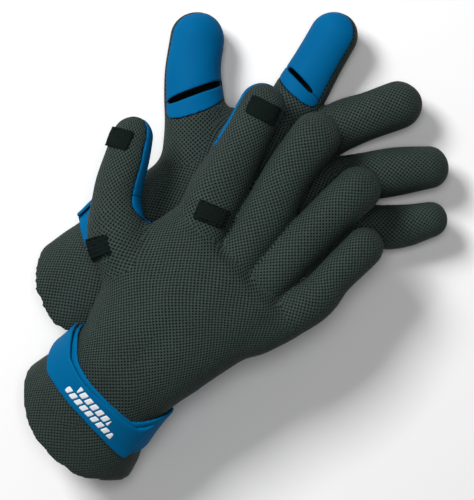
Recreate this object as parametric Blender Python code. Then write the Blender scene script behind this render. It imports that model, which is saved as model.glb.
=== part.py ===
"""A pair of neoprene sailing gloves whose thumb and index fingertips fold back.

The left glove lies palm up on its back. The right glove lies across it, back of the hand up.
Each glove is drawn in plan, seen from above, with w as the height over its own middle surface.
Every piece is cut in that flat state, and is then lifted to where the glove rests.
"""

from math import atan, cos, pi, radians, sin

import bmesh
import bpy
import numpy as np
from mathutils import Matrix, Vector

MM = 0.001
NEOPRENE = 2.8 * MM  # wall of the laminated glove fabric
GAP = 0.3 * MM  # between pieces that are glued or sewn edge to edge
SLIT = 0.6 * MM  # between a closed fingertip cap and its sleeve
HINGE_HEIGHT = 2.6 * MM  # fold line over the back of the finger
PATCH = 1.4 * MM  # thickness of a hook or loop patch
BAND = 1.8 * MM  # thickness of the wrist strap's inner band
FLAP = 1.8 * MM  # thickness of the wrist strap's outer flap
EMBLEM = 0.5 * MM  # thickness of the raised print
REACH = 12 * MM  # how far a cavity tool runs out of the cuff
BIG = 200 * MM  # side of a cutting block
PAIR_SHIFT = Vector((0.2, -1.1, 0)) * MM  # puts the middle of the pair's box over the origin

HAND_SEGMENTS = 16
FINGER_SEGMENTS = 10
DOME_RINGS = 2
CURVE_STEPS = 12  # points on a finger's centre line from one station to the next
PITCH_STEP = 4 * MM  # each way, for measuring how steeply the glove climbs
STRAP_ROWS = 3  # rings across a strap piece that is narrower than the strap
TOUCH = 1e-7  # metres; a cut keeps points nearer than this together
SLIVER = 1e-6  # metres; shorter edges are taken out after a cut
SHARP_ANGLE = 40  # degrees between faces that meet in a visible edge
STRAP_SECTIONS = (2, 3)  # hand sections under the strap's two edges
SCALLOPS = (19, 9.5, 0, 6, 3)  # how far the middle of the first sections runs to the hem, in mm
LEAN_SHARES = (0.25, 0.6)  # of the pitch that the first sections lean by; the others lean fully
HAND_SQUARENESS = 2.3  # above 2, sections are fuller than an ellipse
ROUND = 2.0

# Hand sections in mm: thumb-side corner, little-finger-side corner, half thickness.
# Finger stations in mm: centre, half width. A dome closes each finger past its last station.
# Heights in mm: distance along the glove from its hem, height of the middle surface.
# Caps in mm and degrees: fold line point, direction of the back of the finger, seen from the
# wrist with 0 to the right and 90 up, distances of the base and the tip patch from the fold line.
RIGHT = {
    "side": "right",
    "back_up": 1,
    "hand": [
        ((-126, -71), (-66, -138), 32),
        ((-116, -64.5), (-60.5, -127.5), 29.5),
        ((-105, -58), (-55.5, -115.5), 26),
        ((-91, -45.5), (-39.5, -94.5), 24),
        ((-83, -29), (-22, -82), 21.5),
        ((-71, -7), (1, -66), 20),
        ((-56, 11), (18, -59), 19.5),
        ((-42, 21), (31, -51), 18),
        ((-36, 27), (36, -45), 14.5),
    ],
    "fingers": {
        "index": [
            ((-27, -5), 16),
            ((-15, 28), 17),
            ((-2, 52), 15.4),
            ((10, 76), 14),
            ((15, 86), 13.4),
        ],
        "middle": [((-8, -17), 14), ((17, 20), 15), ((31, 46), 14.8), ((47, 68), 14.8)],
        "ring": [((2, -34), 14), ((36.5, 1.5), 13.6), ((57.5, 22.5), 13.8), ((72, 36), 14.2)],
        "little": [((11, -49), 12), ((43, -31), 13), ((58, -15.3), 11.6), ((75, 1.5), 12.2)],
        "thumb": [
            ((-54, -26), 16),
            ((-69, 5), 18.4),
            ((-71, 30), 14.6),
            ((-66, 53), 14.2),
            ((-63, 65), 12.5),
        ],
    },
    "heights": [(-30, 14), (0, 33), (27, 51), (49, 61), (75, 66), (110, 66.5), (170, 62), (225, 51)],
    "caps": {
        "index": {"fold": (1, 55), "back": 82, "patches": (38, 31)},
        "thumb": {"fold": (-71, 35), "back": 140, "patches": (30, 30)},
    },
}
LEFT = {
    "side": "left",
    "back_up": -1,
    "hand": [
        ((-119, 0), (-80, -54), 18),
        ((-106, 10), (-65, -46), 18),
        ((-94, 18), (-52, -39.5), 18),
        ((-81, 30), (-35, -32), 18.5),
        ((-55, 48), (-15, -24), 19.5),
        ((-35, 63), (8, -23), 20),
        ((-17, 83), (35, -18), 19.5),
        ((11, 87), (60, -12), 17.5),
        ((35, 87), (82, 2), 14.5),
    ],
    "fingers": {
        "index": [((17, 58), 15.5), ((34, 88), 16.3), ((46, 108), 15.2), ((57, 128), 14.9)],
        "middle": [((32, 59), 14), ((60, 74), 15.2), ((81, 82), 14.6), ((98, 88), 14.4)],
        "ring": [((38, 36), 14), ((75, 44), 15.2), ((99, 48), 14.6), ((116, 50), 12.8)],
        "little": [((48, 17), 12), ((84, 14), 13.7), ((102, 15), 12.8), ((117, 18), 11)],
        "thumb": [
            ((-29, 19), 17),
            ((-26, 52), 19.5),
            ((-25, 79), 19),
            ((-27, 107), 17.2),
            ((-24, 126), 16.5),
        ],
    },
    "heights": [(-30, 22), (35, 25), (75, 21.5), (110, 18.5), (185, 16.5), (230, 23)],
    "caps": {
        "index": {"fold": (41, 100), "back": -62, "patches": (29, 29)},
        "thumb": {"fold": (-25, 91), "back": -85, "patches": (30, 30)},
    },
}
FINGER_FLATNESS = 0.88  # thickness of a finger over its width
DOME_LENGTH = 0.9  # of a fingertip over its radius
DOME_SPACING = 0.4  # share of a ring left out before the very tip, which stays a small flat
FACING = 11 * MM  # blue panel on the wrist side of the slit
PATCH_LENGTH = 12 * MM
PATCH_HALF_ANGLE = 42  # degrees round the finger, each way
PATCH_CUT_DEPTH = 1.2  # of the block that cuts a patch out, over the finger's half width
PAD_SHARE = 0.08  # of the finger's radius, from its axis to the pad's edge
FLAP_FROM = 15  # degrees round the wrist, from the little-finger side
FLAP_TO = 165
HOOK_SHARES = (0.2, 0.8)  # edges of the hook patch across the strap, as shares of its width
FLAP_SHARES = (0.0, 0.94)  # the band shows beside the flap's edge near the fingers
EMBLEM_BARS = ((0.30, 0.46), (0.56, 0.72))  # across the strap, as shares of its width
EMBLEM_FROM = 60
EMBLEM_TO = 120

NEOPRENE_COLOR = (0.028, 0.040, 0.036)
BLUE_COLOR = (0.003, 0.122, 0.330)
STRAP_COLOR = (0.003, 0.125, 0.345)
FASTENER_COLOR = (0.010, 0.014, 0.012)
PRINT_COLOR = (0.80, 0.80, 0.78)


def clear_scene():
    """Remove whatever the file opened with."""
    for item in list(bpy.data.objects):
        bpy.data.objects.remove(item, do_unlink=True)


def make_material(name, color, roughness):
    """A plain fabric or rubber material."""
    material = bpy.data.materials.new(name)
    material.use_nodes = True
    shader = material.node_tree.nodes["Principled BSDF"]
    shader.inputs["Base Color"].default_value = (*color, 1.0)
    shader.inputs["Roughness"].default_value = roughness
    shader.inputs["Metallic"].default_value = 0.0
    return material


# ---------------------------------------------------------------- curves and heights


def through(points, steps):
    """Points of a smooth curve through the given points, with steps from each to the next."""
    p = np.array(points, dtype=float)
    slope = np.gradient(p, axis=0)
    curve = []
    for i in range(len(p) - 1):
        for t in np.arange(steps) / steps:
            curve.append(
                (2 * t**3 - 3 * t**2 + 1) * p[i]
                + (t**3 - 2 * t**2 + t) * slope[i]
                + (3 * t**2 - 2 * t**3) * p[i + 1]
                + (t**3 - t**2) * slope[i + 1]
            )
    return np.array(curve + [p[-1]])


def hand_axis(glove):
    """Where the middle of the hem is, and the direction from there to the knuckles."""
    hem = (np.array(glove["hand"][0][0]) + np.array(glove["hand"][0][1])) / 2 * MM
    knuckles = (np.array(glove["hand"][-1][0]) + np.array(glove["hand"][-1][1])) / 2 * MM
    return hem, (knuckles - hem) / np.linalg.norm(knuckles - hem)


def height(glove, point):
    """Height of the glove's middle surface over a point in plan."""
    hem, along = hand_axis(glove)
    distance, level = (np.array(glove["heights"], dtype=float) * MM).T
    return float(np.interp(np.dot(np.array(point[:2]) - hem, along), distance, level))


def pitch(glove, point, direction):
    """Angle at which the middle surface climbs along a direction in plan."""
    ahead = height(glove, np.array(point[:2]) + direction * PITCH_STEP)
    behind = height(glove, np.array(point[:2]) - direction * PITCH_STEP)
    return atan((ahead - behind) / (2 * PITCH_STEP))


# ---------------------------------------------------------------- meshes


def mesh_from(vertices, faces):
    """A closed mesh of triangles turned outwards."""
    mesh = bpy.data.meshes.new("piece")
    mesh.from_pydata([tuple(v) for v in vertices], [], faces)
    shape = bmesh.new()
    shape.from_mesh(mesh)
    bmesh.ops.triangulate(shape, faces=shape.faces)
    bmesh.ops.recalc_face_normals(shape, faces=shape.faces)
    shape.to_mesh(mesh)
    shape.free()
    return mesh


def section(glove, station, segments, power, scallop=0.0, lean_share=1.0):
    """One ring round a station: plan centre, plan direction, half width, half thickness."""
    centre, direction, width, thickness = station
    right = np.array([direction[1], -direction[0]])
    lean = pitch(glove, centre, direction) * lean_share
    ring = []
    for k in range(segments):
        turn = 2 * pi * k / segments
        across = width * np.sign(cos(turn)) * abs(cos(turn)) ** (2 / power)
        up = thickness * np.sign(sin(turn)) * abs(sin(turn)) ** (2 / power)
        back = up * sin(lean) + scallop * sin(turn) ** 2
        plan = np.array(centre) + right * across - direction * back
        ring.append((plan[0], plan[1], up / cos(lean)))
    return ring


def loft(rings):
    """A solid through rings of equal length, with flat ends."""
    count = len(rings[0])
    vertices = [v for ring in rings for v in ring]
    faces = [list(range(count)), [len(vertices) - count + k for k in range(count)]]
    for i in range(len(rings) - 1):
        for k in range(count):
            a, b = i * count + k, i * count + (k + 1) % count
            faces.append([a, b, b + count, a + count])
    return mesh_from(vertices, faces)


def sheet(outer, inner, first, last):
    """A curved strip between two stacks of rings, from ring point first to ring point last."""
    points = [k % len(outer[0]) for k in range(first, last + 1)]
    rows, columns = len(outer), len(points)
    vertices = [ring[k] for ring in [*outer, *inner] for k in points]
    deep = rows * columns
    faces = []
    for i in range(rows - 1):
        for k in range(columns - 1):
            a = i * columns + k
            faces.append([a, a + 1, a + columns + 1, a + columns])
            faces.append([deep + a, deep + a + columns, deep + a + columns + 1, deep + a + 1])
        for a in (i * columns, i * columns + columns - 1):
            faces.append([a, a + columns, deep + a + columns, deep + a])
    for start in (0, (rows - 1) * columns):
        for a in range(start, start + columns - 1):
            faces.append([a, a + 1, deep + a + 1, deep + a])
    return mesh_from(vertices, faces)


def hoop(outer, inner):
    """A closed band between two stacks of rings."""
    rows, count = len(outer), len(outer[0])
    loop = outer + inner[::-1]
    vertices = [v for ring in loop for v in ring]
    faces = []
    for i in range(2 * rows):
        for k in range(count):
            a, b = i * count + k, i * count + (k + 1) % count
            onward = (i + 1) % (2 * rows) * count - i * count
            faces.append([a, b, b + onward, a + onward])
    return mesh_from(vertices, faces)


def block(corner, axes, sizes):
    """A cutting block that starts at the middle of its near face and runs along the first axis."""
    forward, side, up = [Vector(a) for a in axes]
    vertices = []
    for f in (0, 1):
        for s in (-0.5, 0.5):
            for u in (-0.5, 0.5):
                offset = forward * f * sizes[0] + side * s * sizes[1] + up * u * sizes[2]
                vertices.append(Vector(corner) + offset)
    faces = [[0, 1, 3, 2], [4, 6, 7, 5], [0, 4, 5, 1], [2, 3, 7, 6], [0, 2, 6, 4], [1, 5, 7, 3]]
    return mesh_from(vertices, faces)


def boolean(first, second, operation):
    """The union, difference or intersection of two meshes, as a new mesh.

    MANIFOLD keeps these thin curved shells closed, where EXACT leaves open edges.
    """
    base = bpy.data.objects.new("base", first)
    tool = bpy.data.objects.new("tool", second)
    for item in (base, tool):
        bpy.context.scene.collection.objects.link(item)
    cut = base.modifiers.new("cut", "BOOLEAN")
    cut.operation = operation
    cut.solver = "MANIFOLD"
    cut.object = tool
    bpy.context.view_layer.update()
    evaluated = base.evaluated_get(bpy.context.evaluated_depsgraph_get())
    result = bpy.data.meshes.new_from_object(evaluated)
    for item in (base, tool):
        bpy.data.objects.remove(item, do_unlink=True)
    return result


def joined(meshes):
    """The union of several meshes."""
    result = meshes[0]
    for mesh in meshes[1:]:
        result = boolean(result, mesh, "UNION")
    return result


def largest(mesh):
    """The mesh without the slivers that a cut leaves beside the main piece."""
    shape = bmesh.new()
    shape.from_mesh(mesh)
    bmesh.ops.dissolve_degenerate(shape, dist=SLIVER, edges=shape.edges)
    left = set(shape.verts)
    pieces = []
    while left:
        piece, front = set(), [left.pop()]
        while front:
            vertex = front.pop()
            piece.add(vertex)
            for edge in vertex.link_edges:
                other = edge.other_vert(vertex)
                if other in left:
                    left.discard(other)
                    front.append(other)
        pieces.append(piece)
    keep = max(pieces, key=len)
    bmesh.ops.delete(shape, geom=[v for v in shape.verts if v not in keep], context="VERTS")
    result = bpy.data.meshes.new("piece")
    shape.to_mesh(result)
    shape.free()
    return result


# ---------------------------------------------------------------- solids of one glove, in plan


def hand_rings(glove, offset, reach=0.0):
    """Rings of the palm, wrist and cuff, all moved out by offset."""
    corners = [[*thumb, *little, thick] for thumb, little, thick in glove["hand"]]
    rows = np.array(corners, dtype=float) * MM
    rings = []
    for n, (x0, y0, x1, y1, thick) in enumerate(rows):
        across = np.array([x1 - x0, y1 - y0])
        direction = np.array([-across[1], across[0]]) / np.linalg.norm(across)
        centre = np.array([x0 + x1, y0 + y1]) / 2
        if n == len(rows) - 1:
            centre = centre + direction * offset
        half = np.linalg.norm(across) / 2
        scallop = SCALLOPS[n] * MM if n < len(SCALLOPS) else 0.0
        lean_share = LEAN_SHARES[n] if n < len(LEAN_SHARES) else 1.0
        shape = (HAND_SEGMENTS, HAND_SQUARENESS, scallop, lean_share)
        rings.append(section(glove, (centre, direction, half + offset, thick + offset), *shape))
        if n == 0 and reach:
            outside = (centre - direction * reach, direction, half + offset, thick + offset)
            rings.insert(0, section(glove, outside, *shape))
    return rings


def finger_stations(glove, finger):
    """Centre, direction and half width along a finger, without its dome."""
    rows = np.array([[*c, r] for c, r in glove["fingers"][finger]], dtype=float) * MM
    directions = np.gradient(rows[:, :2], axis=0)
    directions /= np.linalg.norm(directions, axis=1)[:, None]
    return [(row[:2], d, row[2]) for row, d in zip(rows, directions)]


def finger_rings(glove, finger, offset):
    """Rings of a finger with its domed tip, all moved out by offset."""
    stations = finger_stations(glove, finger)
    rings = []
    for centre, direction, half in stations:
        station = (centre, direction, half + offset, half * FINGER_FLATNESS + offset)
        rings.append(section(glove, station, FINGER_SEGMENTS, ROUND))
    centre, direction, half = stations[-1]
    for n in range(1, DOME_RINGS + 1):
        turn = pi / 2 * n / (DOME_RINGS + DOME_SPACING)
        forward = centre + direction * (half * DOME_LENGTH + offset) * sin(turn)
        station = (
            forward,
            direction,
            (half + offset) * cos(turn),
            (half * FINGER_FLATNESS + offset) * cos(turn),
        )
        rings.append(section(glove, station, FINGER_SEGMENTS, ROUND))
    return rings


def creased(glove, mesh):
    """The mesh cut across wherever the glove bends, so that pieces that meet bend alike."""
    hem, along = hand_axis(glove)
    shape = bmesh.new()
    shape.from_mesh(mesh)
    for distance, _ in glove["heights"]:
        bend = hem + along * distance * MM
        everything = [*shape.verts, *shape.edges, *shape.faces]
        bmesh.ops.bisect_plane(
            shape, geom=everything, dist=TOUCH, plane_co=(*bend, 0), plane_no=(*along, 0)
        )
    shape.to_mesh(mesh)
    shape.free()
    return mesh


def pressed(glove, mesh, floor):
    """The mesh with whatever would lie under the floor height pressed flat on it."""
    for vertex in creased(glove, mesh).vertices:
        lowest = floor - height(glove, vertex.co)
        vertex.co.z = max(vertex.co.z, lowest)
    return mesh


def finger_solid(glove, finger, offset):
    """A finger's solid, moved out by offset."""
    return pressed(glove, loft(finger_rings(glove, finger, offset)), -offset)


def body_solid(glove, offset, reach=0.0):
    """The solid of the palm, wrist, cuff and the three closed fingers."""
    hand = loft(hand_rings(glove, offset, reach))
    fingers = [loft(finger_rings(glove, name, offset)) for name in ("middle", "ring", "little")]
    return pressed(glove, joined([hand, *fingers]), -offset)


def half_space(point, normal):
    """A block that fills one side of a plane through point, on the side that normal points to."""
    normal = Vector(normal).normalized()
    side = normal.orthogonal().normalized()
    return block(point, (normal, side, normal.cross(side)), (BIG, 2 * BIG, 2 * BIG))


# ---------------------------------------------------------------- fold-back fingertips


def cap_frame(glove, finger):
    """Fold point in plan, direction to the tip, directions to the back and to the side."""
    cap = glove["caps"][finger]
    point = np.array([*cap["fold"], 0.0]) * MM
    tip = np.array([*glove["fingers"][finger][-1][0], 0.0]) * MM
    forward = Vector(tip - point).normalized()
    right = Vector((forward.y, -forward.x, 0.0))
    angle = radians(cap["back"])
    back = right * cos(angle) + Vector((0, 0, 1)) * sin(angle)
    return Vector(point), forward, back, forward.cross(back)


def half_width_at(glove, finger, point):
    """Half width of a finger at the station nearest to a point in plan."""
    stations = finger_stations(glove, finger)
    return min(stations, key=lambda s: np.linalg.norm(s[0] - np.array(point[:2])))[2]


def centre_at(glove, finger, point):
    """The finger's own centre nearest to a point in plan, as a vector at w = 0."""
    curve = through([[*c, r] for c, r in glove["fingers"][finger]], CURVE_STEPS)[:, :2] * MM
    nearest = curve[np.argmin(np.linalg.norm(curve - np.array(point[:2]), axis=1))]
    return Vector((*nearest, 0.0))


def patch_mesh(glove, finger, distance):
    """A hook or loop patch on the back of a finger, at a distance from the fold line."""
    point, forward, back, side = cap_frame(glove, finger)
    layer = boolean(
        finger_solid(glove, finger, GAP + PATCH), finger_solid(glove, finger, GAP), "DIFFERENCE"
    )
    centre = centre_at(glove, finger, point + forward * distance)
    half = half_width_at(glove, finger, centre)
    width = 2 * half * sin(radians(PATCH_HALF_ANGLE))
    start = centre - forward * PATCH_LENGTH / 2 + back * half
    outline = block(start, (forward, side, back), (PATCH_LENGTH, width, PATCH_CUT_DEPTH * half))
    return largest(boolean(layer, outline, "INTERSECT"))


def fold_back_finger(glove, finger, body_outside):
    """The pieces of a finger with a fold-back cap, as {piece: (mesh, moves with the cap)}."""
    point, forward, back, side = cap_frame(glove, finger)
    hollow = finger_solid(glove, finger, -NEOPRENE)
    shell = boolean(finger_solid(glove, finger, 0.0), hollow, "DIFFERENCE")
    cap = boolean(shell, half_space(point + forward * SLIT / 2, forward), "INTERSECT")
    sleeve = boolean(shell, half_space(point - forward * SLIT / 2, forward), "DIFFERENCE")
    sleeve = largest(boolean(sleeve, body_outside, "DIFFERENCE"))

    axis_point = centre_at(glove, finger, point)
    edge = axis_point - back * half_width_at(glove, finger, point) * PAD_SHARE
    pad_side = half_space(edge - back * GAP / 2, -back)
    shell_side = half_space(edge + back * GAP / 2, back)

    start = point - forward * (FACING + SLIT / 2)
    facing = boolean(sleeve, half_space(start + forward * GAP, forward), "INTERSECT")
    facing = boolean(facing, pad_side, "INTERSECT")
    notch_middle = edge + back * GAP / 2 - back * BIG
    notch_middle += forward * (start - notch_middle).dot(forward)
    notch = block(notch_middle, (forward, side, back), (BIG, 2 * BIG, 2 * BIG))
    sleeve = boolean(sleeve, notch, "DIFFERENCE")

    base, tip = [distance * MM for distance in glove["caps"][finger]["patches"]]
    base_patch = boolean(patch_mesh(glove, finger, -base), body_outside, "DIFFERENCE")
    return {
        "sleeve": (largest(sleeve), False),
        "slit_facing": (largest(facing), False),
        "cap_shell": (largest(boolean(cap, shell_side, "INTERSECT")), True),
        "cap_pad": (largest(boolean(cap, pad_side, "INTERSECT")), True),
        "base_patch": (largest(base_patch), False),
        "tip_patch": (patch_mesh(glove, finger, tip), True),
    }


# ---------------------------------------------------------------- wrist strap


def strap_rings(glove, offset, start=0.0, end=1.0):
    """Rings round the wrist between the strap's edges, or between shares of its width."""
    first, last = STRAP_SECTIONS
    rings = np.array(hand_rings(glove, offset)[first : last + 1])
    if (start, end) == (0.0, 1.0):
        return [[tuple(v) for v in ring] for ring in rings]
    shares = np.linspace(start, end, STRAP_ROWS) * (len(rings) - 1)
    picked = []
    for share in shares:
        n = min(int(share), len(rings) - 2)
        picked.append([tuple(v) for v in rings[n] + (rings[n + 1] - rings[n]) * (share - n)])
    return picked


def ring_point(degrees):
    """Index of the ring point at an angle round the wrist."""
    return round(degrees / 360 * HAND_SEGMENTS)


def strap_pieces(glove):
    """The strap's pieces, as {piece: (mesh, moves with the flap)}."""
    turn = 0 if glove["back_up"] > 0 else 180
    first, last = ring_point(FLAP_FROM + turn), ring_point(FLAP_TO + turn)
    if glove["back_up"] < 0:
        patch_first, patch_last = first, first + 2
    else:
        patch_first, patch_last = last - 2, last
    under = GAP + BAND + GAP
    hook = under + PATCH / 2
    top = hook + GAP + FLAP
    pieces = {
        "strap_band": (hoop(strap_rings(glove, GAP + BAND), strap_rings(glove, GAP)), False),
        "strap_hook_patch": (
            sheet(
                strap_rings(glove, hook, *HOOK_SHARES),
                strap_rings(glove, under, *HOOK_SHARES),
                patch_first,
                patch_last,
            ),
            True,
        ),
        "strap_flap": (
            sheet(
                strap_rings(glove, top, *FLAP_SHARES),
                strap_rings(glove, hook + GAP, *FLAP_SHARES),
                first,
                last,
            ),
            True,
        ),
    }
    for name, (start, end) in zip(("long", "short"), EMBLEM_BARS):
        pieces["strap_emblem_" + name] = (
            sheet(
                strap_rings(glove, top + GAP + EMBLEM, start, end),
                strap_rings(glove, top + GAP, start, end),
                ring_point(EMBLEM_FROM + turn),
                ring_point(EMBLEM_TO + turn),
            ),
            True,
        )
    return pieces


# ---------------------------------------------------------------- placing the pieces


def lifted(glove, mesh):
    """The mesh moved from the flat state to where the glove rests."""
    for vertex in creased(glove, mesh).vertices:
        vertex.co.z += height(glove, vertex.co)
        vertex.co += PAIR_SHIFT
    return mesh


def add_part(name, mesh, material, parent=None):
    """One named sub-part, shaded smooth with sharp cut edges."""
    mesh.materials.clear()
    mesh.materials.append(material)
    mesh.shade_smooth()
    mesh.set_sharp_from_angle(angle=radians(SHARP_ANGLE))
    part = bpy.data.objects.new(name, mesh)
    bpy.context.scene.collection.objects.link(part)
    if parent:
        part.parent = parent
        part.matrix_parent_inverse = parent.matrix_world.inverted()
    return part


def add_axis(name, point, direction):
    """An empty on a joint's axis, with its local X along the axis."""
    axis = bpy.data.objects.new(name, None)
    axis.empty_display_size = 10 * MM
    turn = Vector((1, 0, 0)).rotation_difference(direction).to_matrix().to_4x4()
    axis.matrix_world = Matrix.Translation(point + PAIR_SHIFT) @ turn
    bpy.context.scene.collection.objects.link(axis)
    bpy.context.view_layer.update()
    return axis


def fold_axis(glove, finger):
    """A point on a cap's fold line and its direction; a positive turn folds the cap back."""
    point, forward, back, _ = cap_frame(glove, finger)
    centre = centre_at(glove, finger, point)
    half = half_width_at(glove, finger, point)
    place = centre + back * (half * FINGER_FLATNESS + HINGE_HEIGHT)
    place -= forward * (place - point).dot(forward)
    place.z += height(glove, point)
    return place, forward.cross(back)


def strap_axis(glove):
    """A point on the flap's sewn edge and its direction; a positive turn peels the flap open."""
    rings = strap_rings(glove, GAP + BAND + GAP)
    k = ring_point(FLAP_FROM) if glove["back_up"] > 0 else ring_point(FLAP_TO + 180)
    ends = []
    for ring in (rings[0], rings[-1]):
        x, y, w = ring[k]
        ends.append(Vector((x, y, w + height(glove, (x, y)))))
    along = (ends[1] - ends[0]).normalized()
    return (ends[0] + ends[1]) / 2, along * glove["back_up"]


def build_glove(glove, materials):
    """All the pieces of one glove."""
    side = glove["side"]
    outside = body_solid(glove, 0.0)
    hollow = body_solid(glove, -NEOPRENE, REACH)
    shell = boolean(outside, hollow, "DIFFERENCE")
    for finger in glove["caps"]:
        shell = boolean(shell, finger_solid(glove, finger, -NEOPRENE), "DIFFERENCE")
    upper = largest(boolean(shell, half_space((0, 0, GAP / 2), (0, 0, 1)), "INTERSECT"))
    lower = largest(boolean(shell, half_space((0, 0, -GAP / 2), (0, 0, -1)), "INTERSECT"))
    back, palm = (upper, lower) if glove["back_up"] > 0 else (lower, upper)
    add_part(side + "_back_panel", lifted(glove, back), materials["neoprene"])
    add_part(side + "_palm_panel", lifted(glove, palm), materials["neoprene"])

    slots = {
        "sleeve": "neoprene",
        "cap_shell": "neoprene",
        "slit_facing": "fingertip",
        "cap_pad": "fingertip",
        "base_patch": "fastener",
        "tip_patch": "fastener",
    }
    clearance = body_solid(glove, GAP)
    for finger in glove["caps"]:
        axis = add_axis(f"{side}_{finger}_fold", *fold_axis(glove, finger))
        for piece, (mesh, moves) in fold_back_finger(glove, finger, clearance).items():
            name = f"{side}_{finger}_{piece}"
            add_part(name, lifted(glove, mesh), materials[slots[piece]], axis if moves else None)

    slots = {"strap_hook_patch": "fastener", "strap_emblem_long": "print", "strap_emblem_short": "print"}
    axis = add_axis(side + "_strap_hinge", *strap_axis(glove))
    for piece, (mesh, moves) in strap_pieces(glove).items():
        material = materials[slots.get(piece, "strap")]
        add_part(f"{side}_{piece}", lifted(glove, mesh), material, axis if moves else None)


def main():
    clear_scene()
    materials = {
        "neoprene": make_material("textured_neoprene", NEOPRENE_COLOR, 0.85),
        "fingertip": make_material("smooth_blue_neoprene", BLUE_COLOR, 0.6),
        "strap": make_material("blue_strap", STRAP_COLOR, 0.6),
        "fastener": make_material("hook_and_loop", FASTENER_COLOR, 0.95),
        "print": make_material("white_print", PRINT_COLOR, 0.5),
    }
    build_glove(LEFT, materials)
    build_glove(RIGHT, materials)


main()
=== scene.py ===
"""The looks of the pair of neoprene sailing gloves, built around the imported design.

Each glove is drawn in plan in millimetres, with w as the height over its own middle surface, as
the design draws it. Its skin is the zero surface of a distance field round the hand and fingers.
"""

import bpy
import numpy as np
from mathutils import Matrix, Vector


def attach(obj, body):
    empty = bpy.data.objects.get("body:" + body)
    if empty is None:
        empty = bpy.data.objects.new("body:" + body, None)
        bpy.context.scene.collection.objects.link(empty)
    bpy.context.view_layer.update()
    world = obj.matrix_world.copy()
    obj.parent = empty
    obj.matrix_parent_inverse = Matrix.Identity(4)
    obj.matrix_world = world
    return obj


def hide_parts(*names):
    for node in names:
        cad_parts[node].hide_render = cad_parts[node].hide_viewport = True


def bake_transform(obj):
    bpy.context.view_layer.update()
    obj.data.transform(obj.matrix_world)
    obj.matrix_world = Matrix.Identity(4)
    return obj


MM = 0.001
NEOPRENE = 2.8
FLATNESS = 0.88  # thickness of a finger over its width
SQUARENESS = 2.3  # of the hand's sections
HAND_CURVE = 12  # stations of the smooth hand from one section to the next
FINGER_CURVE = 6  # the same from one finger station to the next
BEND_WIDTH = 25  # over which a bend of the middle surface is rounded
PITCH_STEP = 4.0  # each way, for measuring how steeply the glove climbs
HEM_SCALLOP = 21.0  # how far the middle of the hem runs out beyond its sides
HEM_LEAN = 0.25  # of the cuff's pitch that its sections lean by at the hem
HEM_ROUNDING = 2.0
WALL_ROUNDING = 0.4  # of the textured wall's cut edges
PAD_ROUNDING = 0.8  # of the blue wall's cut edges
FLOOR_ROUNDING = 2.0
FLOOR_GAP = 0.05
PANEL_GAP = 0.1  # half the gap between the textured skin and the blue panels
KNUCKLE_ROUNDING = 8.0
FINGER_BLEND = 1.4  # radius of the crease between two fingers
PALM_BLEND = 5.5  # the same where the fingers leave the palm
THUMB_BLEND = 7.0  # the same where the thumb leaves the palm
HINGE_REACH = 8.0  # of the hinge strip, each way from the fold line
HINGE_SHARE = 0.45  # of the finger's radius, from its axis to the strip's edges
SLIT_CLOSED = 0.01  # half width of the slit where its edges meet
RIM = 2.5  # of the hem that is smoothed, each way
RIM_ROUNDS = 7
FACING_CORNER = 9.0  # over which the facing's end rounds off
FACING_WRAP = 1.05  # finger radii from the axis to where the facing ends
PATCH_HALF_LENGTH = 6.0
RIB_PITCH = 2.4
PATCH_SHARE = 0.66  # half width of a patch over the finger's radius
STRAP_SECTIONS = (2, 3)
STRAP_HUMP = 7.5  # that the strap's edge near the fingers bows towards the hem
STRAP_BOW = 7.5  # that its edge near the hem bows towards the hem
BAND_LAYER = (0.3, 2.1)  # heights over the glove's skin, as the next three
HOOK_LAYER = (2.2, 3.0)
FLAP_LAYER = (3.1, 5.1)
PRINT_LAYER = (4.4, 5.5)
FLAP_EDGE = 0.92  # share of the strap that the flap covers, beside its little-finger end
PRINT_BARS = (("long", 0.22, 0.47, 0.52), ("short", 0.53, 0.78, 0.36))
DASH = 4.6  # pitch of the printed dashes
WEAVE_SCALE = 100  # mm to one unit of the weave coordinates
WEAVE_PITCH = 1.85
SKIN_STEP = 1.4  # size of the cells that the skin is drawn in
FINE_STEP = 0.75
STRAP_STEP = 0.8
PRINT_STEP = 0.45
SHIFT = (0.2, -1.1)
CAMERA_HEIGHT = 1.5  # metres, as the next two
FIELD = 0.3  # height of the picture where it is sharpest
FIELD_LEVEL = 0.04
LAMPS = (  # name, place and power in watts, size
    ("key", (-0.75, 0.85, 1.3), 28, 0.55),
    ("overhead", (0.0, 0.1, 1.7), 9, 0.5),
)
SKY_STRENGTH = 0.11

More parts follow.
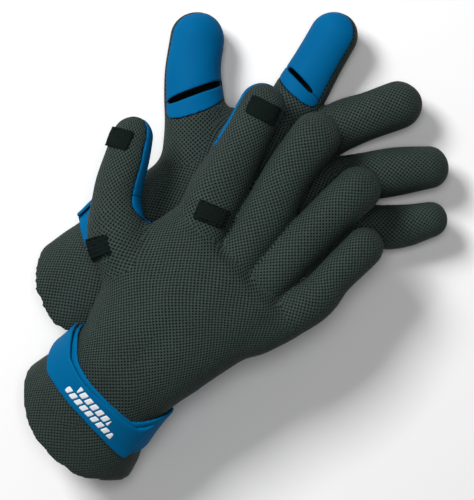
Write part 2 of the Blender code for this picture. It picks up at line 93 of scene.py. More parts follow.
# Hand sections: thumb-side corner, little-finger-side corner, half thickness.
# Finger stations: centre, half width. Heights: distance from the hem, height of the middle.
# Caps: fold point, direction of the back of the finger, distances of the base and the tip patch
# from the fold, the slit's distance past the fold, its slant in degrees, its half width and its
# half length over the finger's radius, length of the facing, and how far from the finger's axis
# the blue starts, over its radius.
RIGHT = {
    "side": "right",
    "back_up": 1,
    "hand": [
        ((-126, -71), (-66, -138), 32),
        ((-116, -64.5), (-60.5, -127.5), 29.5),
        ((-105, -58), (-55.5, -115.5), 26),
        ((-91, -45.5), (-39.5, -94.5), 24),
        ((-83, -29), (-22, -82), 21.5),
        ((-71, -7), (1, -66), 20),
        ((-56, 11), (18, -59), 19.5),
        ((-42, 21), (31, -51), 18),
        ((-36, 27), (36, -45), 14.5),
    ],
    "fingers": {
        "index": [
            ((-27, -5), 16),
            ((-15, 28), 17),
            ((-2, 52), 15.4),
            ((10, 76), 14),
            ((15, 86), 13.4),
        ],
        "middle": [((-8, -17), 14), ((17, 20), 15), ((31, 46), 14.8), ((47, 68), 14.8)],
        "ring": [((2, -34), 14), ((36.5, 1.5), 13.6), ((57.5, 22.5), 13.8), ((72, 36), 14.2)],
        "little": [((11, -49), 12), ((43, -31), 13), ((58, -15.3), 11.6), ((75, 1.5), 12.2)],
        "thumb": [
            ((-54, -26), 16),
            ((-69, 5), 18.4),
            ((-71, 30), 14.6),
            ((-65, 54), 13.2),
            ((-61.5, 67), 12),
        ],
    },
    "heights": [
        (-30, 14),
        (0, 33),
        (27, 51),
        (49, 61),
        (75, 66),
        (110, 66.5),
        (170, 62),
        (225, 51),
    ],
    "caps": {
        "index": {
            "fold": (1, 55),
            "back": 77,
            "patches": (38, 31),
            "slit": (0, -17, 1.2, 0.6),
            "facing": 9,
            "pad": -0.05,
        },
        "thumb": {
            "fold": (-71, 35),
            "back": 144,
            "patches": (30, 30),
            "slit": (0, 0, 1.2, 0.6),
            "facing": 13,
            "pad": 0.18,
        },
    },
}
LEFT = {
    "side": "left",
    "back_up": -1,
    "hand": [
        ((-119, 0), (-80, -54), 18),
        ((-106, 10), (-65, -46), 18),
        ((-94, 18), (-52, -39.5), 18),
        ((-81, 30), (-35, -32), 18.5),
        ((-55, 48), (-15, -24), 19.5),
        ((-35, 63), (8, -23), 20),
        ((-17, 83), (35, -18), 19.5),
        ((11, 87), (60, -12), 17.5),
        ((35, 87), (82, 2), 14.5),
    ],
    "fingers": {
        "index": [((17, 58), 15.5), ((34, 88), 16.3), ((46, 108), 15.2), ((58.5, 130), 14.9)],
        "middle": [((32, 59), 14), ((60, 74), 15.2), ((81, 82), 14.6), ((98, 88), 14.4)],
        "ring": [((38, 36), 14), ((75, 44), 15.2), ((99, 48), 14.6), ((116, 50), 12.8)],
        "little": [((48, 17), 12), ((84, 14), 13.7), ((102, 15), 12.8), ((117, 18), 11)],
        "thumb": [
            ((-29, 19), 17),
            ((-26, 52), 19.5),
            ((-25, 79), 19),
            ((-27, 108), 17.2),
            ((-24, 128.5), 16.5),
        ],
    },
    "heights": [(-30, 22), (35, 25), (75, 21.5), (110, 18.5), (185, 16.5), (230, 23)],
    "caps": {
        "index": {
            "fold": (41, 100),
            "back": -66,
            "patches": (29, 29),
            "slit": (0, -17, 1.5, 0.68),
            "facing": 11,
            "pad": 0.18,
        },
        "thumb": {
            "fold": (-25, 91),
            "back": -97,
            "patches": (30, 30),
            "slit": (4.3, 21, 2.1, 0.92),
            "facing": 14,
            "pad": 0.18,
        },
    },
}

# colour of the embossed pits: partly the neoprene's own pattern, partly painted shade in the
# recesses
PIT_COLOR_WITH_SHADE = (0.003, 0.006, 0.005)
RIDGE_COLOR = (0.034, 0.053, 0.047)
SEAM_COLOR = (0.004, 0.006, 0.005)
LINING_COLOR = (0.005, 0.006, 0.006)
PAD_BLUES = ((0.0003, 0.092, 0.232), (0.0006, 0.112, 0.280))
STRAP_BLUES = ((0.0003, 0.090, 0.220), (0.0006, 0.122, 0.290))

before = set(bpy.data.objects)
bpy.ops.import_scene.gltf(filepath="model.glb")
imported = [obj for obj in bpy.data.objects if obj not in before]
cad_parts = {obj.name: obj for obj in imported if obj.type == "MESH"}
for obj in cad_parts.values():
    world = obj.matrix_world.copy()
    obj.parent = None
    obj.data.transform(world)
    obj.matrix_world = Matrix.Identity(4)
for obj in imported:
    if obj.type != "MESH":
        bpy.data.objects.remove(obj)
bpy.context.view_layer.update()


# ---------------------------------------------------------------- curves and fields


def through(points, steps):
    """Points of a smooth curve through the given points, with steps from each to the next."""
    p = np.array(points, dtype=float)
    slope = np.gradient(p, axis=0)
    curve = []
    for i in range(len(p) - 1):
        for t in np.arange(steps) / steps:
            curve.append(
                (2 * t**3 - 3 * t**2 + 1) * p[i]
                + (t**3 - 2 * t**2 + t) * slope[i]
                + (3 * t**2 - 2 * t**3) * p[i + 1]
                + (t**3 - t**2) * slope[i + 1]
            )
    return np.array(curve + [p[-1]])


def smooth_min(a, b, k):
    """The lower of two fields, rounded over a width of k where they meet."""
    h = np.clip(0.5 + 0.5 * (b - a) / k, 0, 1)
    return b + (a - b) * h - k * h * (1 - h)


def smooth_max(a, b, k):
    """The higher of two fields, rounded over a width of k where they meet."""
    return -smooth_min(-a, -b, k)


class Glove:
    """One glove's drawing with everything that is worked out from it once."""

    def __init__(self, drawing):
        self.drawing = drawing
        self.side = drawing["side"]
        self.up = drawing["back_up"]
        corners = np.array([[*a, *b, t] for a, b, t in drawing["hand"]], dtype=float)
        self.hem = (corners[0, :2] + corners[0, 2:4]) / 2
        knuckles = (corners[-1, :2] + corners[-1, 2:4]) / 2
        self.along = (knuckles - self.hem) / np.linalg.norm(knuckles - self.hem)
        fine = through(corners, HAND_CURVE)
        self.centre = (fine[:, :2] + fine[:, 2:4]) / 2
        across = fine[:, 2:4] - fine[:, :2]
        self.half = np.linalg.norm(across, axis=1) / 2
        self.right = across / (2 * self.half[:, None])
        self.forward = np.stack([-self.right[:, 1], self.right[:, 0]], axis=1)
        self.thick = fine[:, 4]
        steps = np.linalg.norm(np.diff(self.centre, axis=0), axis=1)
        self.run = np.concatenate([[0], np.cumsum(steps)])
        self.levels = self.smooth_levels()
        self.lean = np.arctan([self.slope(c, f) for c, f in zip(self.centre, self.forward)])
        wrist = self.run[HAND_CURVE * STRAP_SECTIONS[0]]
        self.lean *= np.interp(self.run, [0, wrist], [HEM_LEAN, 1])
        self.fingers = {}
        for name, stations in drawing["fingers"].items():
            self.fingers[name] = through([[*c, r] for c, r in stations], FINGER_CURVE)

    def smooth_levels(self):
        """Heights of the middle surface, one for each millimetre, with rounded bends."""
        distance, level = np.array(self.drawing["heights"], dtype=float).T
        at = np.arange(-60.0, 300.0)
        sharp = np.interp(at, distance, level)
        first = (level[1] - level[0]) / (distance[1] - distance[0])
        sharp = np.where(at < distance[0], level[0] + first * (at - distance[0]), sharp)
        padded = np.pad(sharp, BEND_WIDTH // 2, mode="edge")
        soft = np.convolve(padded, np.ones(BEND_WIDTH) / BEND_WIDTH, mode="valid")
        return at, soft

    def height(self, x, y):
        """Height of the middle surface over points in plan."""
        distance = (x - self.hem[0]) * self.along[0] + (y - self.hem[1]) * self.along[1]
        return np.interp(distance, *self.levels)

    def slope(self, point, direction):
        """Climb of the middle surface along a direction in plan."""
        ahead = self.height(*(point + PITCH_STEP * direction))
        behind = self.height(*(point - PITCH_STEP * direction))
        return (ahead - behind) / (2 * PITCH_STEP)

    def hand_plan(self, x, y):
        """Distance along the hand from its hem, and distance across it, for points in plan."""
        gap = []
        for c, f in zip(self.centre, self.forward):
            gap.append((x - c[0]) * f[0] + (y - c[1]) * f[1])
        gap = np.stack(gap, axis=-1)
        first = np.clip((gap > 0).sum(axis=-1) - 1, 0, len(self.run) - 2)
        low = np.take_along_axis(gap, first[..., None], -1)[..., 0]
        high = np.take_along_axis(gap, first[..., None] + 1, -1)[..., 0]
        share = low / np.where(np.abs(low - high) < 1e-6, 1e-6, low - high)
        inner = self.run[first] + np.clip(share, 0, 1) * (self.run[first + 1] - self.run[first])
        inner = np.where(gap[..., -1] > 0, self.run[-1] + gap[..., -1], inner)
        s = np.where(gap[..., 0] < 0, gap[..., 0], inner)
        cx, cy = (np.interp(s, self.run, self.centre[:, i]) for i in (0, 1))
        rx, ry = (np.interp(s, self.run, self.right[:, i]) for i in (0, 1))
        return s, (x - cx) * rx + (y - cy) * ry

    def hand(self, x, y, w):
        """Distance to the palm, wrist and cuff, and the station along them."""
        s, v = self.hand_plan(x, y)
        tilt = np.interp(s, self.run, self.lean)
        station = s + w * np.sin(tilt) * np.cos(tilt)
        a = np.interp(station, self.run, self.half)
        b = np.interp(station, self.run, self.thick) / np.cos(tilt)
        p = SQUARENESS
        v, u = np.abs(v) + 1e-3, np.abs(w) + 1e-3
        size = ((v / a) ** p + (u / b) ** p) ** (1 / p)
        climb = size ** (1 - p) * np.hypot(v ** (p - 1) / a**p, u ** (p - 1) / b**p)
        distance = (size - 1) / climb
        return smooth_max(distance, s - self.run[-1], KNUCKLE_ROUNDING), station

    def finger(self, name, x, y, w):
        """Distance to a finger, and its signed distance to the right and run along it."""
        path = self.fingers[name]
        best = lateral = along = None
        travelled = 0.0
        for (ax, ay, ra), (bx, by, rb) in zip(path[:-1], path[1:]):
            dx, dy = bx - ax, by - ay
            length = np.hypot(dx, dy)
            t = np.clip(((x - ax) * dx + (y - ay) * dy) / length**2, 0, 1)
            ox, oy = x - ax - dx * t, y - ay - dy * t
            distance = np.sqrt(ox**2 + oy**2 + (w / FLATNESS) ** 2) - ra - (rb - ra) * t
            sideways = (ox * dy - oy * dx) / length
            beyond = ((x - ax) * dx + (y - ay) * dy) / length - t * length
            run = travelled + t * length + beyond + 0 * w
            sideways = sideways + 0 * w
            if best is None:
                best, lateral, along = distance, sideways, run
            else:
                closer = distance < best
                best = np.where(closer, distance, best)
                lateral = np.where(closer, sideways, lateral)
                along = np.where(closer, run, along)
            travelled += length
        return best, lateral, along

    def skin(self, x, y, w):
        """Distance to the whole glove's outer surface, and the station along the hand."""
        hand, station = self.hand(x, y, w)
        fingers = None
        for name in ("index", "middle", "ring", "little"):
            distance = self.finger(name, x, y, w)[0]
            fingers = distance if fingers is None else smooth_min(fingers, distance, FINGER_BLEND)
        thumb = self.finger("thumb", x, y, w)[0]
        whole = smooth_min(smooth_min(hand, fingers, PALM_BLEND), thumb, THUMB_BLEND)
        whole = whole + ripples(x, y, w)
        floor = -(w + self.height(x, y))
        return smooth_max(whole, floor, FLOOR_ROUNDING), station

    def hem_cut(self, station, w):
        """Distance past the scalloped hem, away from the hand."""
        share = np.clip(np.abs(w) / self.thick[0], 0, 1)
        return -(station + HEM_SCALLOP * share**2)


def ripples(x, y, w):
    """Slow unevenness of a soft skin, in mm."""
    wave = np.sin(x / 9.1 + 1.3 * np.sin(y / 13.7)) * np.sin(y / 8.3 + w / 11.0 + 0.9)
    return 0.28 * wave + 0.16 * np.sin(x / 4.3 - y / 5.9 + w / 6.1)


class Grid:
    """A box of cells in one glove's flat state."""

    def __init__(self, low, high, step):
        self.low = np.array(low, dtype=float)
        self.step = step
        counts = np.ceil((np.array(high) - self.low) / step).astype(int) + 1
        axes = [self.low[i] + step * np.arange(counts[i]) for i in range(3)]
        self.x = axes[0][:, None, None]
        self.y = axes[1][None, :, None]
        self.w = axes[2][None, None, :]


def net(field, grid):
    """Vertices and quads of the surface where a field on a grid is zero."""
    inside = field < 0
    shape = np.array(field.shape) - 1
    count = np.zeros(shape, dtype=np.int8)
    windows = [(i, j, k) for i in (0, 1) for j in (0, 1) for k in (0, 1)]

    def window(array, i, j, k):
        """The array's values at one corner of every cell."""
        return array[i : i + shape[0], j : j + shape[1], k : k + shape[2]]

    for corner in windows:
        count += window(inside, *corner)
    cells = (count > 0) & (count < 8)
    where = np.argwhere(cells)
    index = np.full(shape, -1, dtype=np.int64)
    index[cells] = np.arange(len(where))
    total = np.zeros((len(where), 3))
    hits = np.zeros(len(where))
    for corner in windows:
        for axis in range(3):
            if corner[axis]:
                continue
            other = list(corner)
            other[axis] = 1
            a = window(field, *corner)[cells]
            b = window(field, *other)[cells]
            crosses = (a < 0) != (b < 0)
            t = np.where(crosses, a / np.where(crosses, a - b, 1), 0)
            place = np.array(corner, dtype=float)[None, :].repeat(len(where), 0)
            place[:, axis] = t
            total += np.where(crosses[:, None], place, 0)
            hits += crosses
    vertices = grid.low + grid.step * (where + total / hits[:, None])
    quads = []
    for axis in range(3):
        one, two = [i for i in range(3) if i != axis]
        a = inside
        b = np.roll(inside, -1, axis=axis)
        edge = np.argwhere(a != b)
        edge = edge[(edge[:, axis] < shape[axis]) & (edge[:, one] > 0) & (edge[:, two] > 0)]
        edge = edge[(edge[:, one] < shape[one]) & (edge[:, two] < shape[two])]
        corners = []
        for back_one, back_two in ((1, 1), (0, 1), (0, 0), (1, 0)):
            cell = edge.copy()
            cell[:, one] -= back_one
            cell[:, two] -= back_two
            corners.append(index[cell[:, 0], cell[:, 1], cell[:, 2]])
        quad = np.stack(corners, axis=1)
        leaving = inside[edge[:, 0], edge[:, 1], edge[:, 2]]
        flip = leaving if axis != 1 else ~leaving
        quad = np.where(flip[:, None], quad, quad[:, ::-1])
        quads.append(quad)
    return vertices, np.concatenate(quads)


def relaxed(vertices, quads, share, rounds):
    """Vertices moved towards the middle of their neighbours, by a share for each of them."""
    first = quads.ravel()
    second = np.roll(quads, -1, axis=1).ravel()
    count = sum(np.bincount(ends, minlength=len(vertices)) for ends in (first, second))
    for _ in range(rounds):
        total = [
            np.bincount(first, vertices[second, i], len(vertices))
            + np.bincount(second, vertices[first, i], len(vertices))
            for i in range(3)
        ]
        middle = np.stack(total, axis=1) / np.maximum(count, 1)[:, None]
        vertices = vertices + (middle - vertices) * share[:, None]
    return vertices


def vertex_normals(vertices, quads):
    """Smooth normals of a quad mesh."""
    a, b, c, d = (vertices[quads[:, i]] for i in range(4))
    face = np.cross(c - a, d - b)
    normals = np.zeros_like(vertices)
    for i in range(4):
        np.add.at(normals, quads[:, i], face)
    return normals / np.maximum(np.linalg.norm(normals, axis=1), 1e-12)[:, None]


# ---------------------------------------------------------------- meshes from fields


def chart_coordinates(glove, chart, points):
    """Along and round a chart's body, in mm, for points of the flat state."""
    x, y, w = points.T
    if chart == "hand":
        s, v = glove.hand_plan(x, y)
        a = np.interp(s, glove.run, glove.half)
        b = np.interp(s, glove.run, glove.thick)
        # round the hand: out along its flat face, then down its side, then back under it
        near = np.abs(v) + b - np.clip(np.abs(w), 0, b)
        round_it = np.sign(v) * np.where(w >= 0, near, 2 * (a + b) - near)
        return s, round_it
    _, lateral, along = glove.finger(chart, x, y, w)
    path = glove.fingers[chart]
    radius = np.mean(path[:, 2])
    return along, np.arctan2(lateral, w / FLATNESS) * radius


def charts_of(glove, points):
    """Which body each point belongs to: 0 for the hand, then the fingers in order."""
    x, y, w = points.T
    rows = [glove.hand(x, y, w)[0] - 1.5]
    for name in glove.fingers:
        rows.append(glove.finger(name, x, y, w)[0])
    return np.argmin(np.stack(rows), axis=0)


def lift(glove, points):
    """Points of the flat state where the glove rests, in metres in the row frame."""
    x, y, w = points.T
    return np.stack([x + SHIFT[0], y + SHIFT[1], w + glove.height(x, y)], axis=1) * MM


def make_piece(glove, name, vertices, quads, normals, material):
    """A mesh object with weave coordinates and the normals of the surface it was cut from."""
    used, quads = np.unique(quads, return_inverse=True)
    quads = quads.reshape(-1, 4)
    flat, normals = vertices[used], normals[used]
    world = lift(glove, flat)
    mesh = bpy.data.meshes.new(name)
    mesh.from_pydata(world.tolist(), [], quads.tolist())
    names = ["hand", *glove.fingers]
    chart = charts_of(glove, flat[quads].mean(axis=1))
    corner = quads.reshape(-1)
    weave = np.zeros((len(corner), 2))
    for i, body in enumerate(names):
        pick = np.repeat(chart == i, 4)
        if pick.any():
            u, v = chart_coordinates(glove, body, flat[corner[pick]])
            weave[pick] = np.stack([u, v], axis=1) / WEAVE_SCALE
    layer = mesh.uv_layers.new(name="weave")
    layer.data.foreach_set("uv", weave.astype(np.float32).ravel())
    seam = mesh.attributes.new("seam", "FLOAT", "POINT")
    seam.data.foreach_set("value", flat[:, 2].astype(np.float32))
    depth = mesh.attributes.new("depth", "FLOAT", "POINT")
    depth.data.foreach_set("value", glove.skin(*flat.T)[0].astype(np.float32))
    mesh.shade_smooth()
    mesh.update()
    mesh.normals_split_custom_set_from_vertices(normals.tolist())
    piece = bpy.data.objects.new(name, mesh)
    bpy.context.scene.collection.objects.link(piece)
    mesh.materials.append(material)
    return piece


def lifted_normals(glove, vertices, quads):
    """Normals of the lifted surface."""
    return vertex_normals(lift(glove, vertices), quads)


# ---------------------------------------------------------------- fingertips that fold back


class Fold:
    """The fold-back fingertip of one finger: where it folds and where its pieces end."""

    def __init__(self, glove, name):
        cap = glove.drawing["caps"][name]
        self.glove = glove
        self.name = name
        self.point = np.array(cap["fold"], dtype=float)
        tip = glove.fingers[name][-1][:2]
        self.forward = (tip - self.point) / np.linalg.norm(tip - self.point)
        self.angle = np.radians(cap["back"])
        self.patches = cap["patches"]
        self.slit_at, slant, self.slit_open, self.slit_share = cap["slit"]
        self.slant = np.tan(np.radians(slant))
        self.facing = cap["facing"]
        self.pad = cap["pad"]
        path = glove.fingers[name]
        self.radius = path[np.argmin(np.linalg.norm(path[:, :2] - self.point, axis=1)), 2]
        self.fold_along = float(glove.finger(name, *self.point, 0.0)[2])

    def fields(self, x, y, w):
        """Distance to the finger, past the fold, towards its back and towards its side."""
        distance, lateral, along = self.glove.finger(self.name, x, y, w)
        past = (x - self.point[0]) * self.forward[0] + (y - self.point[1]) * self.forward[1]
        back = lateral * np.cos(self.angle) + w * np.sin(self.angle)
        side = lateral * np.sin(self.angle) - w * np.cos(self.angle)
        past_slit = past - self.slant * lateral - self.slit_at
        return distance, past + 0 * w, back, side, past_slit, along - self.fold_along

    def pad_region(self, x, y, w):
        """Negative in the blue part of the finger, from the facing's rounded end to the tip."""
        distance, _, back, _, past_slit, _ = self.fields(x, y, w)
        t = np.clip((FACING_CORNER - past_slit - self.facing) / FACING_CORNER, 0, 1)
        share = self.pad + (FACING_WRAP - self.pad) * t**2.4
        front = np.maximum(back + share * self.radius, -(past_slit + self.facing))
        return np.maximum(front, distance - 3)

    def slit(self, past_slit, side):
        """Negative inside the slit, which is open in the middle and closed at its ends."""
        share = np.clip(np.abs(side) / (self.slit_share * self.radius), 0, 1)
        return np.abs(past_slit) - (SLIT_CLOSED + self.slit_open * np.sqrt(1 - share**7))

    def box(self, margin=8.0):
        """Corners of a box in plan round the cap, the facing and the patches."""
        path = self.glove.fingers[self.name]
        ends = np.array([self.point - self.forward * (self.patches[0] + 8), path[-1, :2]])
        reach = self.radius + margin
        low, high = ends.min(axis=0) - reach, ends.max(axis=0) + reach
        return (*low, -reach), (*high, reach)


# ---------------------------------------------------------------- materials


def math(tree, operation, a, b=None, c=None):
    """A math node's result, from sockets or numbers."""
    node = tree.nodes.new("ShaderNodeMath")
    node.operation = operation
    for i, item in enumerate((a, b, c)):
        if item is None:
            continue
        if isinstance(item, (int, float)):
            node.inputs[i].default_value = item
        else:
            tree.links.new(item, node.inputs[i])
    return node.outputs[0]


def noise(tree, scale, detail, where, roughness=0.55):
    """A noise texture's value at a place."""
    node = tree.nodes.new("ShaderNodeTexNoise")
    node.inputs["Scale"].default_value = scale
    node.inputs["Detail"].default_value = detail
    node.inputs["Roughness"].default_value = roughness
    tree.links.new(where, node.inputs["Vector"])
    return node.outputs["Fac"]


def mixed(tree, share, dark, light):
    """A colour between two, by a share from 0 to 1."""
    node = tree.nodes.new("ShaderNodeMix")
    node.data_type = "RGBA"
    for socket, color in ((node.inputs[6], dark), (node.inputs[7], light)):
        if isinstance(color, tuple):
            socket.default_value = (*color, 1)
        else:
            tree.links.new(color, socket)
    tree.links.new(share, node.inputs[0])
    return node.outputs[2]


def base_material(name, roughness, specular=0.02):
    """A new material with its node tree and its shader."""
    material = bpy.data.materials.new(name)
    material.use_nodes = True
    tree = material.node_tree
    shader = tree.nodes["Principled BSDF"]
    shader.inputs["Roughness"].default_value = roughness
    shader.inputs["Specular IOR Level"].default_value = specular
    return material, tree, shader


def bump(tree, shader, height, distance):
    """Fine relief from a height between 0 and about 1, over a distance in metres."""
    node = tree.nodes.new("ShaderNodeBump")
    node.inputs["Strength"].default_value = 1.0
    node.inputs["Distance"].default_value = distance
    tree.links.new(height, node.inputs["Height"])
    tree.links.new(node.outputs["Normal"], shader.inputs["Normal"])


def attribute(tree, name):
    """A vertex attribute's value."""
    node = tree.nodes.new("ShaderNodeAttribute")
    node.attribute_name = name
    return node.outputs["Fac"]


def weave_pattern(tree, pitch, turn, drift):
    """Pits in a diamond grid, from 0 between them to 1, in the piece's weave coordinates."""
    uv = tree.nodes.new("ShaderNodeUVMap")
    uv.uv_map = "weave"
    split = tree.nodes.new("ShaderNodeSeparateXYZ")
    tree.links.new(uv.outputs["UV"], split.inputs[0])
    u, v = split.outputs[0], split.outputs[1]
    c, s = np.cos(turn), np.sin(turn)
    wave = []
    for a, b in ((c, s), (-s, c)):
        mix = math(tree, "MULTIPLY", u, a * WEAVE_SCALE)
        mix = math(tree, "MULTIPLY_ADD", v, b * WEAVE_SCALE, mix)
        mix = math(tree, "MULTIPLY_ADD", drift, 1.2, mix)
        wave.append(math(tree, "COSINE", math(tree, "MULTIPLY", mix, 2 * np.pi / pitch)))
    total = math(tree, "MULTIPLY", math(tree, "ADD", wave[0], wave[1]), 0.5)
    return math(tree, "SMOOTH_MAX", total, 0.0, 0.25)


def neoprene_material():
    """Dark green-grey neoprene, embossed with a diamond grid of pits whose darker colour is partly
    the pattern and partly painted shade, over a black lining.
    """
    material, tree, shader = base_material("textured_neoprene", 0.72, 0.14)
    space = tree.nodes.new("ShaderNodeTexCoord").outputs["Object"]
    fine = noise(tree, 1100, 3, space)
    broad = noise(tree, 30, 3, space)
    pits = weave_pattern(tree, WEAVE_PITCH, np.pi / 4, broad)
    grain = math(tree, "MULTIPLY_ADD", fine, 1.5, 0.12)
    # the pits are coloured darker: partly the embossed pattern, partly painted shade in the
    # recesses
    shade = math(tree, "SUBTRACT", grain, math(tree, "MULTIPLY", pits, 1.25))
    shade = math(tree, "MULTIPLY", shade, math(tree, "MULTIPLY_ADD", broad, 0.55, 0.72))
    near = math(tree, "DIVIDE", math(tree, "ABSOLUTE", attribute(tree, "seam")), 0.9)
    groove = math(tree, "MINIMUM", near, 1.0)
    color = mixed(tree, shade, PIT_COLOR_WITH_SHADE, RIDGE_COLOR)
    color = mixed(tree, groove, SEAM_COLOR, color)
    inside = math(tree, "LESS_THAN", attribute(tree, "depth"), -0.5 * NEOPRENE)
    color = mixed(tree, inside, color, LINING_COLOR)
    tree.links.new(color, shader.inputs["Base Color"])
    rough = math(tree, "MULTIPLY_ADD", broad, 0.2, 0.6)
    tree.links.new(rough, shader.inputs["Roughness"])
    height = math(tree, "SUBTRACT", math(tree, "MULTIPLY", fine, 0.25), pits)
    height = math(tree, "ADD", height, math(tree, "MULTIPLY", groove, 1.2))
    bump(tree, shader, height, 0.0006)
    return material


def smooth_material(name, color, light):
    """Smooth blue neoprene with a very fine knit face."""
    material, tree, shader = base_material(name, 0.58)
    space = tree.nodes.new("ShaderNodeTexCoord").outputs["Object"]
    broad = noise(tree, 22, 2, space)
    fine = noise(tree, 1600, 2, space)
    tree.links.new(mixed(tree, broad, color, light), shader.inputs["Base Color"])
    tree.links.new(math(tree, "MULTIPLY_ADD", broad, 0.12, 0.5), shader.inputs["Roughness"])
    bump(tree, shader, fine, 0.00008)
    return material


def fastener_material():
    """Fuzzy black loop fabric."""
    material, tree, shader = base_material("hook_and_loop", 0.95)
    space = tree.nodes.new("ShaderNodeTexCoord").outputs["Object"]
    fuzz = noise(tree, 1300, 4, space, 0.7)
    color = mixed(tree, fuzz, (0.001, 0.002, 0.0018), (0.013, 0.021, 0.019))
    tree.links.new(color, shader.inputs["Base Color"])
    bump(tree, shader, fuzz, 0.0006)
    return material


def print_material():
    """White ink, a little worn."""
    material, tree, shader = base_material("white_print", 0.55)
    space = tree.nodes.new("ShaderNodeTexCoord").outputs["Object"]
    wear = noise(tree, 700, 3, space)
    color = mixed(tree, wear, (0.62, 0.65, 0.68), (0.86, 0.87, 0.88))
    tree.links.new(color, shader.inputs["Base Color"])
    bump(tree, shader, wear, 0.00004)
    return material


# ---------------------------------------------------------------- pieces of one glove


def body_pieces(glove, folds, materials):
    """The textured skin: panels, sleeves, hinge strips and cap shells."""
    corners = np.array([[*a, *b] for a, b, _ in glove.drawing["hand"]])
    tips = np.array([path[-1, :2] for path in glove.fingers.values()])
    cloud = np.concatenate([corners[:, :2], corners[:, 2:4], tips, glove.fingers["thumb"][:, :2]])
    low, high = cloud.min(axis=0) - 24, cloud.max(axis=0) + 24
    tall = max(glove.thick) / np.cos(glove.lean.max()) + 3
    grid = Grid((*low, -tall), (*high, tall), SKIN_STEP)
    skin, station = glove.skin(grid.x, grid.y, grid.w)
    shell = smooth_max(skin, -(skin + NEOPRENE), WALL_ROUNDING)
    shell = smooth_max(shell, glove.hem_cut(station, grid.w), HEM_ROUNDING)
    for fold in folds:
        shell = np.maximum(shell, PANEL_GAP - fold.pad_region(grid.x, grid.y, grid.w))
    vertices, quads = net(shell, grid)
    x, y, w = vertices.T
    rim = np.abs(glove.hem_cut(glove.hand(x, y, w)[1], w))
    rim[glove.hand_plan(x, y)[0] > 3 * HEM_SCALLOP] = 9 * RIM
    vertices = relaxed(vertices, quads, np.clip(2 - rim / RIM, 0.1, 0.7), RIM_ROUNDS)
    normals = lifted_normals(glove, vertices, quads)
    middle = vertices[quads].mean(axis=1)
    x, y, w = middle.T
    label = np.where(w > 0, "upper", "lower").astype("<U16")
    for fold in folds:
        distance, past, back, _, _, _ = fold.fields(x, y, w)
        hand = glove.hand(x, y, w)[0]
        others = [glove.finger(n, x, y, w)[0] for n in glove.fingers if n != fold.name]
        others = np.min(others, axis=0)
        own = (distance < 2.0) & (distance < hand) & (distance < others)
        label[own & (past <= 0)] = fold.name + "_sleeve"
        label[own & (past > 0)] = fold.name + "_cap"
        bends = own & (np.abs(past) < HINGE_REACH) & (back > HINGE_SHARE * fold.radius)
        label[bends] = fold.name + "_hinge"
    side = glove.side
    back, palm = ("upper", "lower") if glove.up > 0 else ("lower", "upper")
    made = {}
    plan = {back: "back_panel", palm: "palm_panel"}
    for fold in folds:
        plan[fold.name + "_sleeve"] = fold.name + "_sleeve"
        plan[fold.name + "_hinge"] = fold.name + "_hinge_strip"
        plan[fold.name + "_cap"] = fold.name + "_cap_shell"
    for key, node in plan.items():
        faces, name = quads[label == key], f"{side}_{node}_skin"
        skin_material = materials["neoprene"]
        piece = make_piece(glove, name, vertices, faces, normals, skin_material)
        made[node] = piece
        if node.endswith("cap_shell"):
            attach(piece, f"{side}_{key}")
        elif not node.endswith("hinge_strip"):
            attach(piece, side + "_glove")
        if not node.endswith("hinge_strip"):
            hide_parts(f"{side}_{node}")
    for fold in folds:
        strip = made[fold.name + "_hinge_strip"]
        ends = []
        for reach in (-HINGE_REACH, HINGE_REACH):
            spot = fold.point + fold.forward * reach
            ends.append(lift(glove, np.array([[*spot, 0.0]]))[0])
        ends[1][2] = ends[0][2]
        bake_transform(strip)
    return made


def carved(glove, name, field, grid, material, slot, body, *nodes):
    """A closed piece from a field, riding on a body in place of CAD nodes, above the floor."""
    field = np.maximum(field, FLOOR_GAP - grid.w - glove.height(grid.x, grid.y))
    vertices, quads = net(field, grid)
    normals = lifted_normals(glove, vertices, quads)
    piece = make_piece(glove, name, vertices, quads, normals, material)
    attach(piece, body)
    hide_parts(*nodes)
    return piece


def fold_pieces(glove, fold, materials):
    """The blue pad and facing on both sides of the slit, and the two patches."""
    side = glove.side
    grid = Grid(*fold.box(), FINE_STEP)
    skin, _ = glove.skin(grid.x, grid.y, grid.w)
    shell = smooth_max(skin, -(skin + NEOPRENE), PAD_ROUNDING)
    region = fold.pad_region(grid.x, grid.y, grid.w)
    _, _, back, across, past_slit, along = fold.fields(grid.x, grid.y, grid.w)
    front = smooth_max(shell, region + PANEL_GAP, 0.6)
    front = smooth_max(front, -fold.slit(past_slit, across), 0.5)
    glove_body, cap_body = side + "_glove", f"{side}_{fold.name}_cap"
    name = f"{side}_{fold.name}"

    def add(piece, field, material, slot, body, node):
        """One piece of this finger."""
        carved(glove, name + piece, field, grid, materials[material], slot, body, name + node)

    pad, facing = np.maximum(front, -past_slit), np.maximum(front, past_slit)
    add("_pad", pad, "fingertip", "fingertip_panel", cap_body, "_cap_pad")
    add("_facing", facing, "fingertip", "fingertip_panel", glove_body, "_slit_facing")
    middle = np.abs(skin - 1.0)
    weave = np.sin(grid.x * 3.1 + grid.y * 1.7) * np.sin(grid.y * 2.9 - grid.x * 1.3 + grid.w * 2.1)
    base, tip = fold.patches
    for node, spot, body in (("_base_patch", -base, glove_body), ("_tip_patch", tip, cap_body)):
        wide = np.abs(across) - PATCH_SHARE * fold.radius
        edge = smooth_max(np.abs(along - spot) - PATCH_HALF_LENGTH, wide, 1.6)
        rib = 0.3 * np.cos((along - spot) * 2 * np.pi / RIB_PITCH) if spot < 0 else 0
        stitch = 0.4 * np.exp(-(((edge + 1.3) / 0.45) ** 2))
        patch = smooth_max(middle - 0.8 + 0.18 * weave + rib + stitch, edge + 0.25 * weave, 0.5)
        patch = np.maximum(patch, -back)
        add(node + "_loops", patch, "fastener", "touch_fastener", body, node)


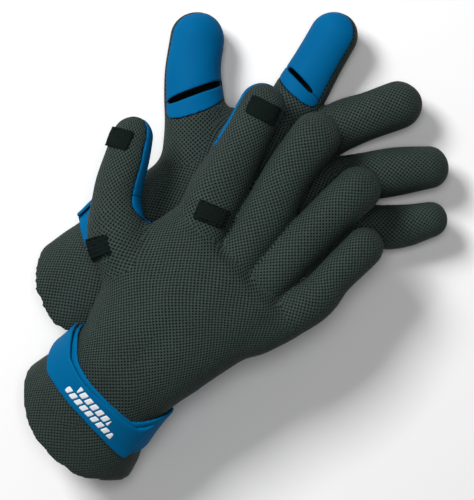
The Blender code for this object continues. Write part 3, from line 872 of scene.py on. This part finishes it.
def strap_pieces(glove, materials):
    """The wrist strap's band, flap, hook patch and print."""
    side, up = glove.side, glove.up
    hem_row, hand_row = (HAND_CURVE * n for n in STRAP_SECTIONS)
    first, last = glove.run[hem_row], glove.run[hand_row]
    rows = glove.centre[hem_row : hand_row + 1]
    half = glove.half[hem_row]
    reach = half + 14
    tall = glove.thick[hem_row] / np.cos(glove.lean.max()) + 8

    def strap_grid(low, high, step):
        """A grid with the hand's distance, the place across it and the share of the strap."""
        grid = Grid(low, high, step)
        hand, station = glove.hand(grid.x, grid.y, grid.w)
        _, v = glove.hand_plan(grid.x, grid.y)
        v = v + 0 * grid.w
        hump = np.clip(np.abs(grid.w) / glove.thick[hand_row], 0, 1) ** 2
        wobble = 0.4 * np.sin(v / 8.0) * np.sin(grid.w / 9.0 + 1.0)
        bowed = station + wobble - first + STRAP_BOW * hump
        share = bowed / (last - first - (STRAP_HUMP - STRAP_BOW) * hump)
        return grid, hand, v, share

    def layer(hand, share, levels, start, end, rounding):
        """A layer between two heights over the skin and two shares of the strap's width."""
        inner, outer = levels
        depth = np.abs(hand - (inner + outer) / 2) - (outer - inner) / 2
        along = (np.abs(share - (start + end) / 2) - (end - start) / 2) * (last - first)
        return smooth_max(depth, along, rounding)

    low, high = rows.min(axis=0) - reach, rows.max(axis=0) + reach
    grid, hand, v, share = strap_grid((*low, -tall), (*high, tall), STRAP_STEP)
    out = up * grid.w
    blue, flap_body = materials["strap"], side + "_strap_flap"
    loops = materials["fastener"]
    band_node, flap_node, hook_node = (side + "_strap_" + n for n in ("band", "flap", "hook_patch"))
    band = layer(hand, share, BAND_LAYER, 0.0, 1.0, 1.1)
    name = side + "_strap_inner_band"
    carved(glove, name, band, grid, blue, "strap", side + "_glove", band_node)
    ends = np.maximum(5.0 * v / half + 1.0 - out, v - 0.93 * half)
    edge = FLAP_EDGE + (1 - FLAP_EDGE) * np.clip(2 * v / half + 0.6, 0, 1)
    flap = smooth_max(layer(hand, share, FLAP_LAYER, 0.0, edge, 1.2), ends, 1.2)
    name = side + "_strap_outer_flap"
    carved(glove, name, flap, grid, blue, "strap", flap_body, flap_node)
    hook = layer(hand, share, HOOK_LAYER, 0.2, 0.8, 0.4)
    hook = np.maximum(hook, np.maximum(4.0 - out, v + 0.45 * half))
    name = side + "_strap_hooks"
    carved(glove, name, hook, grid, loops, "touch_fastener", flap_body, hook_node)
    middle = rows.mean(axis=0)
    box = np.array([[*(middle - 0.62 * half - 14), 0], [*(middle + 0.62 * half), tall]])
    if up < 0:
        box[:, 2] = -box[::-1, 2]
    grid, hand, v, share = strap_grid(box[0], box[1], PRINT_STEP)
    for name, start, end, length in PRINT_BARS:
        bar = layer(hand, share, PRINT_LAYER, start, end, 0.5)
        slanted = v + 0.3 * half - 0.9 * (share - start) * 9
        dash = np.abs(slanted % DASH - DASH / 2) - DASH * 0.39
        bar = smooth_max(bar, np.maximum(dash, np.abs(v - 0.02 * half) - length * half), 0.5)
        node, ink = f"{side}_strap_emblem_{name}", materials["print"]
        carved(glove, f"{side}_strap_bar_{name}", bar, grid, ink, "print", flap_body, node)


def build_glove(drawing, materials):
    """Every visible piece of one glove."""
    glove = Glove(drawing)
    folds = [Fold(glove, name) for name in drawing["caps"]]
    body_pieces(glove, folds, materials)
    for fold in folds:
        fold_pieces(glove, fold, materials)
    strap_pieces(glove, materials)


# ---------------------------------------------------------------- stage, light, camera


def build_stage():
    """A plain pale floor under a bright sky with soft lamps."""
    bpy.ops.mesh.primitive_plane_add(size=6, location=(0, 0, 0))
    floor = bpy.context.object
    floor.name = "floor"
    material, _, shader = base_material("pale_floor", 0.9)
    shader.inputs["Base Color"].default_value = (0.9, 0.9, 0.9, 1)
    floor.data.materials.append(material)
    world = bpy.data.worlds.new("studio")
    world.use_nodes = True
    world.node_tree.nodes["Background"].inputs[0].default_value = (1, 1, 1, 1)
    world.node_tree.nodes["Background"].inputs[1].default_value = SKY_STRENGTH
    bpy.context.scene.world = world
    for name, place, power, size in LAMPS:
        lamp = bpy.data.lights.new(name, "AREA")
        lamp.energy = power
        lamp.size = size
        item = bpy.data.objects.new(name, lamp)
        item.location = place
        item.rotation_euler = (-Vector(place)).to_track_quat("-Z", "Y").to_euler()
        bpy.context.scene.collection.objects.link(item)
        item.visible_camera = False
    bpy.context.scene.view_settings.view_transform = "Standard"


def build_camera():
    """Straight above the pair, with a long lens."""
    lens = bpy.data.cameras.new("camera")
    lens.sensor_fit = "VERTICAL"
    lens.sensor_height = 36
    lens.lens = lens.sensor_height * (CAMERA_HEIGHT - FIELD_LEVEL) / FIELD
    camera = bpy.data.objects.new("camera", lens)
    camera.location = (SHIFT[0] * MM, SHIFT[1] * MM, CAMERA_HEIGHT)
    bpy.context.scene.collection.objects.link(camera)
    bpy.context.scene.camera = camera


MATERIALS = {
    "neoprene": neoprene_material(),
    "fingertip": smooth_material("smooth_blue_neoprene", *PAD_BLUES),
    "strap": smooth_material("blue_strap", *STRAP_BLUES),
    "fastener": fastener_material(),
    "print": print_material(),
}
build_glove(LEFT, MATERIALS)
build_glove(RIGHT, MATERIALS)
build_stage()
build_camera()
